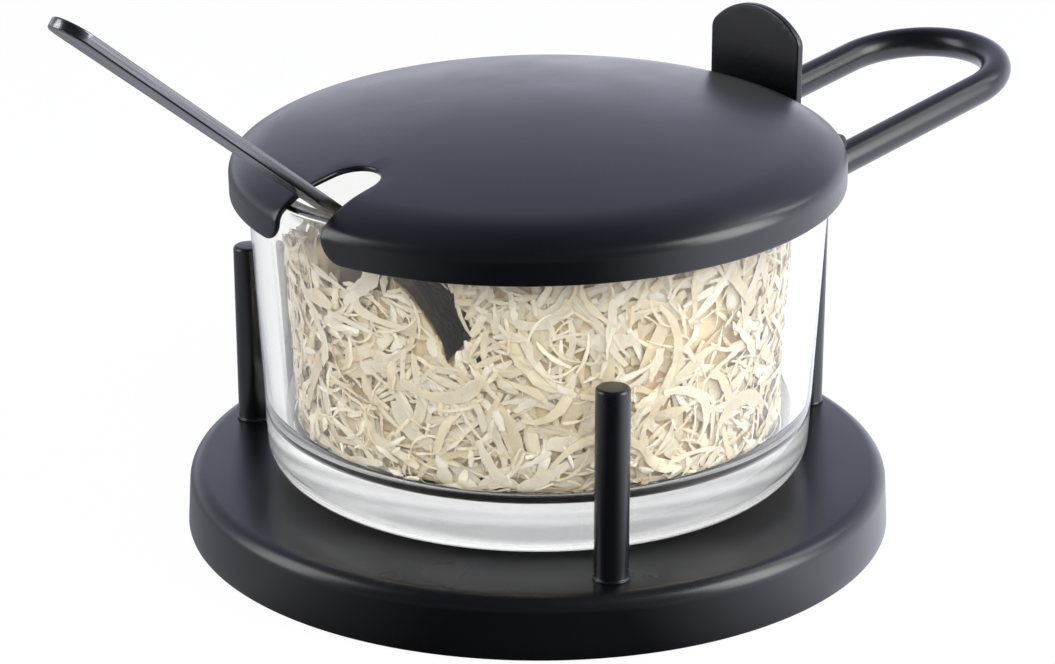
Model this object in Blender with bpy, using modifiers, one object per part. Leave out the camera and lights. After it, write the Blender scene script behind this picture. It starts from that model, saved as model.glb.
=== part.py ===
"""Parmesan pot: a glass bowl held in a pressed steel stand with a wire handle, a hinged lid and a spoon.

The origin is the middle of the underside, +X points to the handle and +Z up.
"""

import math

import bmesh
import bpy

MM = 0.001
MERGE = 0.00001

# Fits
SEAT_GAP = 0.3 * MM
PIN_CLEARANCE = 0.12 * MM
SCREW_CLEARANCE = 0.2 * MM

# Glass bowl
GLASS_RIM_RADIUS = 52.6 * MM
GLASS_HEIGHT = 58.2 * MM
GLASS_DRAFT = math.radians(2.8)
GLASS_WALL = 3.2 * MM
GLASS_FLOOR = 9.0 * MM
GLASS_HEEL = 5.5 * MM
GLASS_INNER_HEEL = 5.0 * MM
GLASS_PUNT = 2.0 * MM
GLASS_PUNT_RADIUS = 41.0 * MM

# Stand
BASE_BORDER = 4.0 * MM
BASE_HEIGHT = 11.1 * MM
BASE_SHEET = 1.2 * MM
BASE_SHOULDER = 3.0 * MM
BASE_FLARE = 0.5 * MM
PAD_PROUD = 0.5 * MM
PAD_THICKNESS = 1.7 * MM
PAD_MARGIN = 7.0 * MM
COVER_THICKNESS = 2.0 * MM
COVER_LIP_HEIGHT = 1.8 * MM
COVER_LIP_WIDTH = 2.2 * MM
COVER_RIB_RADIUS = 32.0 * MM
COVER_RIB_WIDTH = 2.0 * MM

# Posts and wire handle, both of the same round bar
BAR_RADIUS = 3.0 * MM
POST_CLEARANCE = 1.4 * MM
POST_HEIGHT = 34.4 * MM
POST_ANGLE = math.radians(120.0)
POST_CHAMFER = 0.7 * MM
POST_BEAD = 0.3 * MM
LEG_CLEARANCE = 2.4 * MM
LEG_SPACING = 33.0 * MM
HANDLE_REACH = 66.4 * MM
HANDLE_RISE = math.radians(9.0)
HANDLE_BEND = 9.0 * MM

# Screws that hold the posts and the legs
SCREW_RADIUS = 2.0 * MM
SCREW_GRIP = 7.0 * MM
SCREW_END_ROOM = 1.5 * MM
SCREW_HEAD_RADIUS = 3.8 * MM
SCREW_HEAD_HEIGHT = 2.4 * MM
SCREW_SOCKET = 1.25 * MM
SCREW_SOCKET_DEPTH = 1.4 * MM
SOCKET_SIDES = 6
WASHER_RADIUS = 4.4 * MM
WASHER_THICKNESS = 0.8 * MM

# Lid
LID_CLEARANCE = 1.8 * MM
LID_SHEET = 1.1 * MM
LID_SKIRT = 3.8 * MM
LID_SHOULDER = 3.0 * MM
LID_KNUCKLE = 20.0 * MM
LID_SHOULDER_END = math.radians(54.0)
LID_KNUCKLE_END = math.radians(79.0)
LID_TILT = math.radians(1.3)
SLOT_MOUTH = 12.0 * MM
SLOT_TIP_RADIUS = 5.0 * MM
SLOT_DEPTH = 17.4 * MM
SLOT_CORNER = 4.5 * MM

# Hinge and thumb lever
PIN_RADIUS = 2.0 * MM
HINGE_DROP = 2.8 * MM
LEVER_SHEET = 1.5 * MM
LEVER_WIDTH = 22.6 * MM
LEVER_TOP = 24.1 * MM
LEVER_CROWN_RADIUS = 14.7 * MM
LEVER_CORNER = 3.0 * MM
LEVER_EYE_WRAP = math.radians(270.0)

# Spoon
SPOON_TILT = math.radians(38.3)
SPOON_LENGTH = 138.4 * MM
SPOON_SHEET = 2.0 * MM
SPOON_BOWL_LENGTH = 31.0 * MM
SPOON_BOWL_WIDTH = 22.0 * MM
SPOON_BOWL_DEPTH = 5.5 * MM
SPOON_NECK_WIDTH = 4.8 * MM
SPOON_NECK_LENGTH = 22.0 * MM
SPOON_NECK_DROP = 5.0 * MM
SPOON_END_WIDTH = 9.0 * MM
SPOON_TIP_WIDTH = 1.2 * MM

# Mesh fineness
ROUND_STEPS = 48
BAR_STEPS = 24
SMALL_STEPS = 16
ARC_STEPS = 6
ROUND_END_STEPS = 12
EYE_STEPS = 18
BAR_BEVEL_RESOLUTION = 6
SPOON_BOWL_STEPS = 14
SPOON_SHANK_STEPS = 12
SPOON_ACROSS_STEPS = 8
SHARP_ANGLE = math.radians(35.0)
CUT_MARGIN = 10.0 * MM

# Levels and radii that follow from the sizes above
BASE_BOTTOM = PAD_PROUD
BASE_TOP = BASE_BOTTOM + BASE_HEIGHT
BASE_UNDER = BASE_TOP - BASE_SHEET
GLASS_BOTTOM = BASE_TOP + SEAT_GAP
GLASS_TOP = GLASS_BOTTOM + GLASS_HEIGHT
GLASS_FLOOR_TOP = GLASS_BOTTOM + GLASS_FLOOR
GLASS_LIP = GLASS_WALL / 2
POST_CIRCLE = GLASS_RIM_RADIUS + POST_CLEARANCE + BAR_RADIUS - POST_BEAD
LEG_CIRCLE = GLASS_RIM_RADIUS + LEG_CLEARANCE + BAR_RADIUS
LEG_Y = LEG_SPACING / 2
LEG_X = math.sqrt(LEG_CIRCLE**2 - LEG_Y**2)
BASE_RADIUS = LEG_CIRCLE + BAR_RADIUS + BASE_BORDER
LID_RADIUS = GLASS_RIM_RADIUS + LID_CLEARANCE + LID_SHEET
WASHER_TOP = BASE_UNDER - SEAT_GAP
HEAD_TOP = WASHER_TOP - WASHER_THICKNESS - SEAT_GAP
FOOT_LEVEL = BASE_TOP + SEAT_GAP
SCREW_TIP = FOOT_LEVEL + SCREW_GRIP
BORE_TOP = SCREW_TIP + SCREW_END_ROOM
COVER_BOTTOM = PAD_THICKNESS + SEAT_GAP

POST_PLACES = {
    side: (POST_CIRCLE * math.cos(angle), POST_CIRCLE * math.sin(angle))
    for side, angle in (("left", POST_ANGLE), ("right", -POST_ANGLE))
}
LEG_PLACES = {"left": (LEG_X, LEG_Y), "right": (LEG_X, -LEG_Y)}


def arc(center, radius, start, end, steps=ARC_STEPS):
    """Points on a circular arc, both ends included; angles in radians."""
    angles = [start + (end - start) * i / steps for i in range(steps + 1)]
    return [(center[0] + radius * math.cos(a), center[1] + radius * math.sin(a)) for a in angles]


def height_at(profile, radius):
    """Height of a profile of (radius, height) points, listed from the axis outwards."""
    for (r0, z0), (r1, z1) in zip(profile, profile[1:]):
        if r0 <= radius <= r1:
            return z0 + (z1 - z0) * (radius - r0) / (r1 - r0)
    return profile[-1][1]


def collection(name):
    found = bpy.data.collections.new(name)
    bpy.context.scene.collection.children.link(found)
    return found


def material(name, color, roughness, metallic=0.0, transmission=0.0):
    made = bpy.data.materials.new(name)
    made.use_nodes = True
    shader = made.node_tree.nodes["Principled BSDF"]
    shader.inputs["Base Color"].default_value = (*color, 1.0)
    shader.inputs["Roughness"].default_value = roughness
    shader.inputs["Metallic"].default_value = metallic
    shader.inputs["Transmission Weight"].default_value = transmission
    return made


def add(name, data, finish=None, location=(0, 0, 0), rotation=(0, 0, 0), parent=None):
    """Put a mesh or curve into the parts, or among the cutters when it has no finish."""
    made = bpy.data.objects.new(name, data)
    made.location = location
    made.rotation_euler = rotation
    made.parent = parent
    if finish is None:
        CUTTERS.objects.link(made)
        made.hide_render = True
        made.display_type = "WIRE"
    else:
        PARTS.objects.link(made)
        data.materials.append(finish)
    return made


def empty(name, location):
    made = bpy.data.objects.new(name, None)
    made.location = location
    PARTS.objects.link(made)
    return made


def turned(name, profile, finish=None, steps=ROUND_STEPS, closed=False, **place):
    """Spin a profile of (radius, height) points about its Z axis; its outer side runs downwards."""
    edges = [(i, i + 1) for i in range(len(profile) - 1)]
    if closed:
        edges.append((len(profile) - 1, 0))
    mesh = bpy.data.meshes.new(name)
    mesh.from_pydata([(r, 0.0, z) for r, z in profile], edges, [])
    made = add(name, mesh, finish, **place)
    screw = made.modifiers.new("Turn", "SCREW")
    screw.steps = steps
    screw.render_steps = steps
    screw.use_merge_vertices = True
    screw.merge_threshold = MERGE
    return made


def cylinder(name, radius, low, high, segments=SMALL_STEPS, **place):
    """A cutter that stands along Z between two levels."""
    body = bmesh.new()
    bmesh.ops.create_cone(body, cap_ends=True, segments=segments, radius1=radius, radius2=radius,
                          depth=high - low)
    bmesh.ops.translate(body, verts=body.verts, vec=(0, 0, (low + high) / 2))
    mesh = bpy.data.meshes.new(name)
    body.to_mesh(mesh)
    body.free()
    return add(name, mesh, **place)


def meshed(curve_object, finish=None):
    """Swap a curve object for a welded mesh of the same name and place."""
    bpy.context.view_layer.update()
    graph = bpy.context.evaluated_depsgraph_get()
    mesh = bpy.data.meshes.new_from_object(curve_object.evaluated_get(graph))
    body = bmesh.new()
    body.from_mesh(mesh)
    bmesh.ops.remove_doubles(body, verts=body.verts, dist=MERGE)
    bmesh.ops.recalc_face_normals(body, faces=body.faces)
    body.to_mesh(mesh)
    body.free()
    mesh.materials.clear()
    name = curve_object.name
    place = {"location": curve_object.location.copy(), "rotation": curve_object.rotation_euler.copy(),
             "parent": curve_object.parent}
    curve = curve_object.data
    bpy.data.objects.remove(curve_object)
    bpy.data.curves.remove(curve)
    return add(name, mesh, finish, **place)


def plate(name, outline, thickness, finish=None, **place):
    """A flat outline in its own XY plane, thickened evenly to both sides."""
    curve = bpy.data.curves.new(name, "CURVE")
    curve.dimensions = "2D"
    curve.fill_mode = "BOTH"
    curve.extrude = thickness / 2
    spline = curve.splines.new("POLY")
    spline.points.add(len(outline) - 1)
    for point, (x, y) in zip(spline.points, outline):
        point.co = (x, y, 0.0, 1.0)
    spline.use_cyclic_u = True
    return meshed(add(name, curve, **place), finish)


def cut(target, *cutters, operation="DIFFERENCE"):
    for cutter in cutters:
        boolean = target.modifiers.new(cutter.name, "BOOLEAN")
        boolean.operation = operation
        boolean.object = cutter


def smooth(target):
    """Shade a part smooth, but for its sharp edges."""
    target.data.shade_smooth()
    target.data.set_sharp_from_angle(angle=SHARP_ANGLE)


# Stand


def base_shell(finish):
    """Pressed pan, open below, with a clearance hole under each post and leg."""
    top_radius = BASE_RADIUS - BASE_FLARE
    corner = (top_radius - BASE_SHOULDER, BASE_TOP - BASE_SHOULDER)
    outside = arc(corner, BASE_SHOULDER, math.pi / 2, 0)
    inside = arc(corner, BASE_SHOULDER - BASE_SHEET, 0, math.pi / 2)
    foot = [(BASE_RADIUS, BASE_BOTTOM), (BASE_RADIUS - BASE_SHEET, BASE_BOTTOM)]
    made = turned("base_shell", [(0, BASE_TOP), *outside, *foot, *inside, (0, BASE_UNDER)], finish)
    for kind, places in (("post", POST_PLACES), ("leg", LEG_PLACES)):
        for side, (x, y) in places.items():
            hole = cylinder(f"{kind}_hole_{side}", SCREW_RADIUS + SCREW_CLEARANCE, BASE_UNDER - CUT_MARGIN,
                            BASE_TOP + CUT_MARGIN, location=(x, y, 0))
            cut(made, hole)


def skirt_inner_radius(level):
    """Inside of the base skirt, which flares towards its foot."""
    share = (level - BASE_BOTTOM) / (BASE_HEIGHT - BASE_SHOULDER)
    return BASE_RADIUS - BASE_FLARE * share - BASE_SHEET


def bottom_cover(finish):
    """Plastic disc pressed into the skirt, with a rib that carries the top of the stand."""
    floor = COVER_BOTTOM + COVER_THICKNESS
    lip = floor + COVER_LIP_HEIGHT
    outer = skirt_inner_radius(lip) - SEAT_GAP
    rib_top = BASE_UNDER - SEAT_GAP
    rib_inner = COVER_RIB_RADIUS - COVER_RIB_WIDTH
    profile = [(0, floor), (rib_inner, floor), (rib_inner, rib_top), (COVER_RIB_RADIUS, rib_top),
               (COVER_RIB_RADIUS, floor), (outer - COVER_LIP_WIDTH, floor), (outer - COVER_LIP_WIDTH, lip),
               (outer, lip), (outer, COVER_BOTTOM), (0, COVER_BOTTOM)]
    turned("bottom_cover", profile, finish)


def anti_slip_pad(finish):
    """Rubber disc under the cover; the pot stands on it."""
    radius = BASE_RADIUS - PAD_MARGIN
    turned("anti_slip_pad", [(0, PAD_THICKNESS), (radius, PAD_THICKNESS), (radius, 0), (0, 0)], finish)


def posts(finish):
    """Two short posts with a tapped bore in the foot."""
    bore = SCREW_RADIUS + SCREW_CLEARANCE
    top = FOOT_LEVEL + POST_HEIGHT
    bead = BAR_RADIUS + POST_BEAD
    profile = [(0, top), (BAR_RADIUS - POST_CHAMFER, top), (BAR_RADIUS, top - POST_CHAMFER),
               (BAR_RADIUS, FOOT_LEVEL + 2 * POST_BEAD), (bead, FOOT_LEVEL), (bore, FOOT_LEVEL),
               (bore, BORE_TOP), (0, BORE_TOP)]
    for side, (x, y) in POST_PLACES.items():
        turned(f"post_{side}", profile, finish, BAR_STEPS, location=(x, y, 0))


def fasteners(finish):
    """A socket screw and a washer under every post and leg."""
    bearing = SCREW_RADIUS + SCREW_CLEARANCE
    washer = [(WASHER_RADIUS, WASHER_TOP), (WASHER_RADIUS, WASHER_TOP - WASHER_THICKNESS),
              (bearing, WASHER_TOP - WASHER_THICKNESS), (bearing, WASHER_TOP)]
    low = HEAD_TOP - SCREW_HEAD_HEIGHT
    edge = SCREW_HEAD_HEIGHT / 2
    head = arc((SCREW_HEAD_RADIUS - edge, low + edge), edge, 0, -math.pi / 2)
    screw = [(0, SCREW_TIP), (SCREW_RADIUS, SCREW_TIP), (SCREW_RADIUS, HEAD_TOP),
             (SCREW_HEAD_RADIUS, HEAD_TOP), *head, (0, low)]
    for kind, places in (("post", POST_PLACES), ("leg", LEG_PLACES)):
        for side, (x, y) in places.items():
            turned(f"{kind}_washer_{side}", washer, finish, SMALL_STEPS, closed=True, location=(x, y, 0))
            made = turned(f"{kind}_screw_{side}", screw, finish, SMALL_STEPS, location=(x, y, 0))
            socket = cylinder(f"{kind}_socket_{side}", SCREW_SOCKET, low - CUT_MARGIN,
                              low + SCREW_SOCKET_DEPTH, segments=SOCKET_SIDES, location=(x, y, 0))
            cut(made, socket)


# Handle and hinge


def hinge_place():
    """Middle of the hinge pin, just behind and below the rear edge of the lid."""
    x = LID_RADIUS + SEAT_GAP + LEVER_SHEET + PIN_CLEARANCE + PIN_RADIUS
    z = lid_level() + LID_RADIUS * math.sin(LID_TILT) - HINGE_DROP
    return x, z


def handle_path():
    """Centre line of the wire: up one leg, out along the loop and down the other leg."""
    pin_x, pin_z = hinge_place()
    bend_x = LEG_X + HANDLE_BEND
    reach = HANDLE_BEND + BAR_RADIUS + PIN_RADIUS + SEAT_GAP
    bend_z = pin_z - math.sqrt(reach**2 - (pin_x - bend_x) ** 2)
    bend = arc((bend_x, bend_z), HANDLE_BEND, math.pi, math.pi / 2 + HANDLE_RISE)
    leg = [(LEG_X, -LEG_Y, FOOT_LEVEL)] + [(x, -LEG_Y, z) for x, z in bend]
    start_x, start_z = bend[-1]
    turn_x = LEG_X + HANDLE_REACH - BAR_RADIUS - LEG_Y
    loop = []
    for out, y in arc((turn_x, 0), LEG_Y, -math.pi / 2, math.pi / 2, ROUND_END_STEPS):
        loop.append((out, y, start_z + (out - start_x) * math.tan(HANDLE_RISE)))
    return leg + loop + [(x, -y, z) for x, y, z in reversed(leg)]


def handle_frame(finish):
    """One bent wire, tapped at the foot of each leg."""
    path = handle_path()
    curve = bpy.data.curves.new("handle_frame", "CURVE")
    curve.dimensions = "3D"
    curve.bevel_depth = BAR_RADIUS
    curve.bevel_resolution = BAR_BEVEL_RESOLUTION
    curve.use_fill_caps = True
    spline = curve.splines.new("POLY")
    spline.points.add(len(path) - 1)
    for point, place in zip(spline.points, path):
        point.co = (*place, 1.0)
    made = meshed(add("handle_frame", curve), finish)
    for side, (x, y) in LEG_PLACES.items():
        bore = cylinder(f"leg_bore_{side}", SCREW_RADIUS + SCREW_CLEARANCE, FOOT_LEVEL - CUT_MARGIN, BORE_TOP,
                        location=(x, y, 0))
        cut(made, bore)
    smooth(made)


def hinge_pin(finish):
    """Cross pin that lies on the two bends of the handle and reaches their outer sides."""
    x, z = hinge_place()
    half = LEG_Y + BAR_RADIUS
    turned("hinge_pin", [(0, half), (PIN_RADIUS, half), (PIN_RADIUS, -half), (0, -half)], finish, BAR_STEPS,
           location=(x, 0, z), rotation=(math.pi / 2, 0, 0))


def thumb_lever(finish, pivot):
    """Upright plate behind the lid, rolled into an eye around the hinge pin."""
    inner = PIN_RADIUS + PIN_CLEARANCE
    outer = inner + LEVER_SHEET
    roll_end = math.pi + LEVER_EYE_WRAP
    hook = [(-outer, LEVER_TOP + CUT_MARGIN), *arc((0, 0), outer, math.pi, roll_end, EYE_STEPS),
            *arc((0, 0), inner, roll_end, math.pi, EYE_STEPS), (-inner, LEVER_TOP + CUT_MARGIN)]
    made = plate("thumb_lever", hook, LEVER_WIDTH, finish, rotation=(math.pi / 2, 0, 0), parent=pivot)
    half = LEVER_WIDTH / 2
    crown = (0, LEVER_TOP - LEVER_CROWN_RADIUS)
    corner_y = half - LEVER_CORNER
    corner_z = crown[1] + math.sqrt((LEVER_CROWN_RADIUS - LEVER_CORNER) ** 2 - corner_y**2)
    lean = math.atan2(corner_z - crown[1], corner_y)
    low = -outer - CUT_MARGIN
    outline = [(half, low), *arc((corner_y, corner_z), LEVER_CORNER, 0, lean),
               *arc(crown, LEVER_CROWN_RADIUS, lean, math.pi - lean, ROUND_END_STEPS)[1:-1],
               *arc((-corner_y, corner_z), LEVER_CORNER, math.pi - lean, math.pi), (-half, low)]
    shape = plate("lever_outline", outline, 2 * (outer + CUT_MARGIN),
                  rotation=(math.pi / 2, 0, math.pi / 2), parent=pivot)
    cut(made, shape, operation="INTERSECT")


# Lid


def lid_outside(inset=0.0):
    """Profile of the lid from the axis outwards and down, moved inwards by a sheet thickness."""
    shoulder = (LID_RADIUS - LID_SHOULDER, LID_SKIRT)
    spread = LID_KNUCKLE - LID_SHOULDER
    knuckle = (shoulder[0] - spread * math.cos(LID_SHOULDER_END),
               shoulder[1] - spread * math.sin(LID_SHOULDER_END))
    crown_radius = LID_KNUCKLE + knuckle[0] / math.cos(LID_KNUCKLE_END)
    crown = (0, knuckle[1] - knuckle[0] * math.tan(LID_KNUCKLE_END))
    return [*arc(crown, crown_radius - inset, math.pi / 2, LID_KNUCKLE_END)[:-1],
            *arc(knuckle, LID_KNUCKLE - inset, LID_KNUCKLE_END, LID_SHOULDER_END)[:-1],
            *arc(shoulder, LID_SHOULDER - inset, LID_SHOULDER_END, 0),
            (LID_RADIUS - inset, 0)]


def lid_level():
    """Height of the middle of the skirt's lower edge when the lid rests on the rim of the bowl."""
    rim = GLASS_RIM_RADIUS - GLASS_LIP
    under = height_at(lid_outside(LID_SHEET), rim)
    return GLASS_TOP + SEAT_GAP - under + rim * math.sin(LID_TILT)


def lid_shell(finish, pivot):
    """Pressed lid with a slot for the spoon, open at the rim opposite the hinge."""
    pin_x, pin_z = hinge_place()
    profile = lid_outside() + list(reversed(lid_outside(LID_SHEET)))
    made = turned("lid_shell", profile, finish, location=(-pin_x, 0, lid_level() - pin_z),
                  rotation=(0, -LID_TILT, 0), parent=pivot)
    tip = -(LID_RADIUS - SLOT_DEPTH) - SLOT_TIP_RADIUS
    mouth = -(LID_RADIUS + LID_SHOULDER)
    half = SLOT_MOUTH / 2
    taper = math.atan2(half - SLOT_TIP_RADIUS, tip - mouth)
    outline = [(mouth, half), (mouth, -half)]
    outline += arc((tip, 0), SLOT_TIP_RADIUS, taper - math.pi / 2, math.pi / 2 - taper, ROUND_END_STEPS)
    top = profile[0][1]
    slot = plate("spoon_slot", outline, 2 * (top + CUT_MARGIN), parent=made)
    corners = arc((-half - SLOT_CORNER, SLOT_CORNER), SLOT_CORNER, -math.pi / 2, 0)
    corners += arc((half + SLOT_CORNER, SLOT_CORNER), SLOT_CORNER, math.pi, 3 * math.pi / 2)
    corners += [(half + SLOT_CORNER, -CUT_MARGIN), (-half - SLOT_CORNER, -CUT_MARGIN)]
    notch = plate("slot_corners", corners, 2 * CUT_MARGIN, location=(-LID_RADIUS, 0, 0),
                  rotation=(math.pi / 2, 0, math.pi / 2), parent=made)
    cut(made, slot, notch)


# Bowl and spoon


def wall_radius(level):
    """Outer radius of the drafted glass wall."""
    return GLASS_RIM_RADIUS - (GLASS_TOP - level) * math.tan(GLASS_DRAFT)


def glass_bowl(finish):
    """Pressed glass bowl with a rounded rim, a rounded heel and a thick floor."""
    lip = (GLASS_RIM_RADIUS - GLASS_LIP, GLASS_TOP - GLASS_LIP)
    heel = (wall_radius(GLASS_BOTTOM + GLASS_HEEL) - GLASS_HEEL, GLASS_BOTTOM + GLASS_HEEL)
    inner_level = GLASS_FLOOR_TOP + GLASS_INNER_HEEL
    inner = (wall_radius(inner_level) - GLASS_WALL - GLASS_INNER_HEEL, inner_level)
    punt = GLASS_BOTTOM + GLASS_PUNT
    profile = [(0, GLASS_FLOOR_TOP), *arc(inner, GLASS_INNER_HEEL, -math.pi / 2, 0),
               *arc(lip, GLASS_LIP, math.pi, 0), *arc(heel, GLASS_HEEL, 0, -math.pi / 2),
               (GLASS_PUNT_RADIUS, GLASS_BOTTOM), (GLASS_PUNT_RADIUS - GLASS_PUNT, punt), (0, punt)]
    turned("glass_bowl", profile, finish)


def spoon_half_width(along):
    """Half width of the spoon at a distance from the tip of its bowl."""
    middle = SPOON_BOWL_LENGTH / 2
    bowl = SPOON_BOWL_WIDTH / 2 * math.sqrt(max(0.0, 1 - ((along - middle) / middle) ** 2))
    share = max(0.0, along - SPOON_BOWL_LENGTH) / (SPOON_LENGTH - SPOON_BOWL_LENGTH)
    handle = (SPOON_NECK_WIDTH + (SPOON_END_WIDTH - SPOON_NECK_WIDTH) * share) / 2
    if along < middle:
        handle = 0.0
    from_end = along - (SPOON_LENGTH - SPOON_END_WIDTH / 2)
    if from_end > 0:
        handle = math.sqrt(max(0.0, (SPOON_END_WIDTH / 2) ** 2 - from_end**2))
    return max(bowl, handle, SPOON_TIP_WIDTH / 2)


def spoon_point(along, across):
    """Middle of the spoon's sheet; across runs from -1 to 1 and the handle lies along X."""
    past_neck = (along - SPOON_BOWL_LENGTH / 2) / SPOON_NECK_LENGTH - 0.5
    share = min(1.0, max(0.0, past_neck))
    drop = SPOON_NECK_DROP * (1 - share * share * (3 - 2 * share))
    middle = SPOON_BOWL_LENGTH / 2
    hollow = SPOON_BOWL_DEPTH * max(0.0, 1 - ((along - middle) / middle) ** 2) * (1 - across**2)
    return along, spoon_half_width(along) * across, -drop - hollow


def spoon_stations():
    """Distances along the spoon, closer together where its outline turns."""
    middle = SPOON_BOWL_LENGTH / 2
    end = SPOON_END_WIDTH / 2
    handle_end = SPOON_LENGTH - end
    stretch = (handle_end - SPOON_BOWL_LENGTH) / SPOON_SHANK_STEPS
    bowl = [x for x, _ in arc((middle, 0), middle, math.pi, 0, SPOON_BOWL_STEPS)]
    shank = [SPOON_BOWL_LENGTH + stretch * i for i in range(1, SPOON_SHANK_STEPS)]
    cap = [x for x, _ in arc((handle_end, 0), end, math.pi / 2, 0)]
    return bowl + shank + cap


def spoon_place():
    """Origin of the spoon: its handle lies on the rim of the bowl and its tip on the floor."""
    along = (-math.cos(SPOON_TILT), math.sin(SPOON_TILT))
    upward = (math.sin(SPOON_TILT), math.cos(SPOON_TILT))
    lip = (-(GLASS_RIM_RADIUS - GLASS_LIP), GLASS_TOP - GLASS_LIP)
    height = lip[0] * upward[0] + lip[1] * upward[1] + GLASS_LIP + SEAT_GAP + SPOON_SHEET / 2
    points = [spoon_point(s, 0) for s in spoon_stations()]
    lowest = min(x * along[1] + z * upward[1] for x, _, z in points) - SPOON_SHEET / 2
    level = GLASS_FLOOR_TOP + SEAT_GAP - lowest
    travel = (level - height * upward[1]) / along[1]
    return travel * along[0] + height * upward[0], 0.0, level


def spoon(finish):
    """Pressed spoon: one sheet, hollowed at the bowl, that slopes out through the slot."""
    stations = spoon_stations()
    last = len(stations) - 1
    body = bmesh.new()
    bmesh.ops.create_grid(body, x_segments=last, y_segments=SPOON_ACROSS_STEPS, size=1.0)
    for vertex in body.verts:
        index = round((vertex.co.x + 1) / 2 * last)
        vertex.co = spoon_point(stations[index], vertex.co.y)
    mesh = bpy.data.meshes.new("spoon")
    body.to_mesh(mesh)
    body.free()
    made = add("spoon", mesh, finish, spoon_place(), (0, -SPOON_TILT, math.pi))
    sheet = made.modifiers.new("Sheet", "SOLIDIFY")
    sheet.thickness = SPOON_SHEET
    sheet.offset = 0.0
    smooth(made)


for leftover in list(bpy.data.objects):
    bpy.data.objects.remove(leftover)

PARTS = collection("parmesan_pot")
CUTTERS = collection("cutters")

BLACK_COAT = material("black_coat", (0.018, 0.019, 0.022), 0.45)
CLEAR_GLASS = material("clear_glass", (0.93, 0.97, 0.96), 0.03, transmission=1.0)
DARK_STEEL = material("dark_steel", (0.10, 0.10, 0.105), 0.32, metallic=1.0)
ZINC = material("zinc", (0.55, 0.56, 0.58), 0.35, metallic=1.0)
BLACK_PLASTIC = material("black_plastic", (0.02, 0.02, 0.02), 0.6)
RUBBER = material("rubber", (0.03, 0.03, 0.03), 0.85)

base_shell(BLACK_COAT)
bottom_cover(BLACK_PLASTIC)
anti_slip_pad(RUBBER)
posts(BLACK_COAT)
fasteners(ZINC)
handle_frame(BLACK_COAT)
hinge_pin(BLACK_COAT)
HINGE_X, HINGE_Z = hinge_place()
LID_PIVOT = empty("lid_pivot", (HINGE_X, 0, HINGE_Z))
lid_shell(BLACK_COAT, LID_PIVOT)
thumb_lever(BLACK_COAT, LID_PIVOT)
glass_bowl(CLEAR_GLASS)
spoon(DARK_STEEL)
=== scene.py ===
"""Looks of the parmesan pot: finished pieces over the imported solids, materials, light and camera."""

import random
from math import asin, atan2, cos, exp, hypot, pi, radians, sin, sqrt, tan

import bmesh
import bpy
import numpy as np
from mathutils import Matrix, Vector, noise
from mathutils.geometry import delaunay_2d_cdt


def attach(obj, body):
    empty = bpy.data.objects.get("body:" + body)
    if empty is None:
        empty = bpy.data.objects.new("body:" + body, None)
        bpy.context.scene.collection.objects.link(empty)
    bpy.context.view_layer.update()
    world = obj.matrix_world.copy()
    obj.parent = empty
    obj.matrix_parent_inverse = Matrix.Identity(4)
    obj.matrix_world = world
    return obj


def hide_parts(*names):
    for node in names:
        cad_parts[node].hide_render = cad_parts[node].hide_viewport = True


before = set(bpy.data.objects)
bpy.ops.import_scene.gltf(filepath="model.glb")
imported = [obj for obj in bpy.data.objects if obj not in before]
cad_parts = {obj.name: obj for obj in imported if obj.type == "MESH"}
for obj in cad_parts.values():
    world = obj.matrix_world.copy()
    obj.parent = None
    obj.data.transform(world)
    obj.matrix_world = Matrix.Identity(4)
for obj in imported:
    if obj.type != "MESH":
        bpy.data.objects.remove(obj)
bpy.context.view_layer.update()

# All sizes are in millimetres; MM turns them into the frame's metres.
MM = 0.001

# Stand
BASE_RADIUS = 64.99
BASE_FLARE = 0.5
BASE_BOTTOM = 0.5
BASE_TOP = 11.6
BASE_SHEET = 1.2
BASE_SHOULDER = 3.0
BASE_HEM = 0.35
BASE_RINGS = (0.0, 20.0, 40.0, 56.0)
COVER_BOTTOM = 2.0
COVER_FLOOR = 4.0
COVER_LIP_TOP = 5.8
COVER_RADIUS = 63.17
COVER_LIP_WIDTH = 2.2
COVER_RIB = (30.0, 32.0, 10.1)
COVER_EDGE = 0.5
COVER_GROOVE = (1.5, 1.0, 0.5)
PAD_RADIUS = 58.0
PAD_TOP = 1.7
PAD_EDGE = 0.5
PAD_GROOVE_PITCH = 4.0
PAD_GROOVE_WIDTH = 1.2
PAD_GROOVE_DEPTH = 0.5

# Round bar of the posts and the handle
BAR_RADIUS = 3.0
POST_PLACES = {"left": (-28.35, 49.104), "right": (-28.35, -49.104)}
POST_TOP = 46.3
POST_EDGE = 0.7
POST_RINGS = (12.0, 2.0)
BEAD = 0.3
BEAD_HEIGHT = 0.6
LEG_X = 55.603
LEG_Y = 16.5
FOOT_LEVEL = 11.9
LEG_RINGS = (12.0, 25.0)
BEND_RADIUS = 9.0
BEND_LEVEL = 49.768
HANDLE_RISE = radians(9.0)
LOOP_X = 102.46

# Hinge and thumb lever
HINGE = (59.42, 0.0, 63.095)
PIN_RADIUS = 2.0
PIN_HALF = 19.5
PIN_EDGE = 0.4
LEVER_OUTER = 3.62
LEVER_SHEET = 1.5
LEVER_HALF = 11.3
LEVER_TOP = 24.1
LEVER_CROWN = 14.7
LEVER_CORNER = 3.0
LEVER_END_CORNER = 1.0
LEVER_WRAP = radians(270.0)
LEVER_EDGE = 0.3

# Lid
LID_LEVEL = 64.636
LID_TILT = radians(1.3)
LID_RADIUS = 55.5
LID_SHEET = 1.1
LID_SKIRT = 3.8
LID_SHOULDER = 3.0
LID_KNUCKLE = 20.0
LID_SHOULDER_END = radians(54.0)
LID_KNUCKLE_END = radians(79.0)
LID_EDGE = 0.45
SLOT_MOUTH_X = -58.5
SLOT_MOUTH_HALF = 6.0
SLOT_TIP_X = -43.1
SLOT_TIP_RADIUS = 5.0
SLOT_CORNER = 4.5

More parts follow.
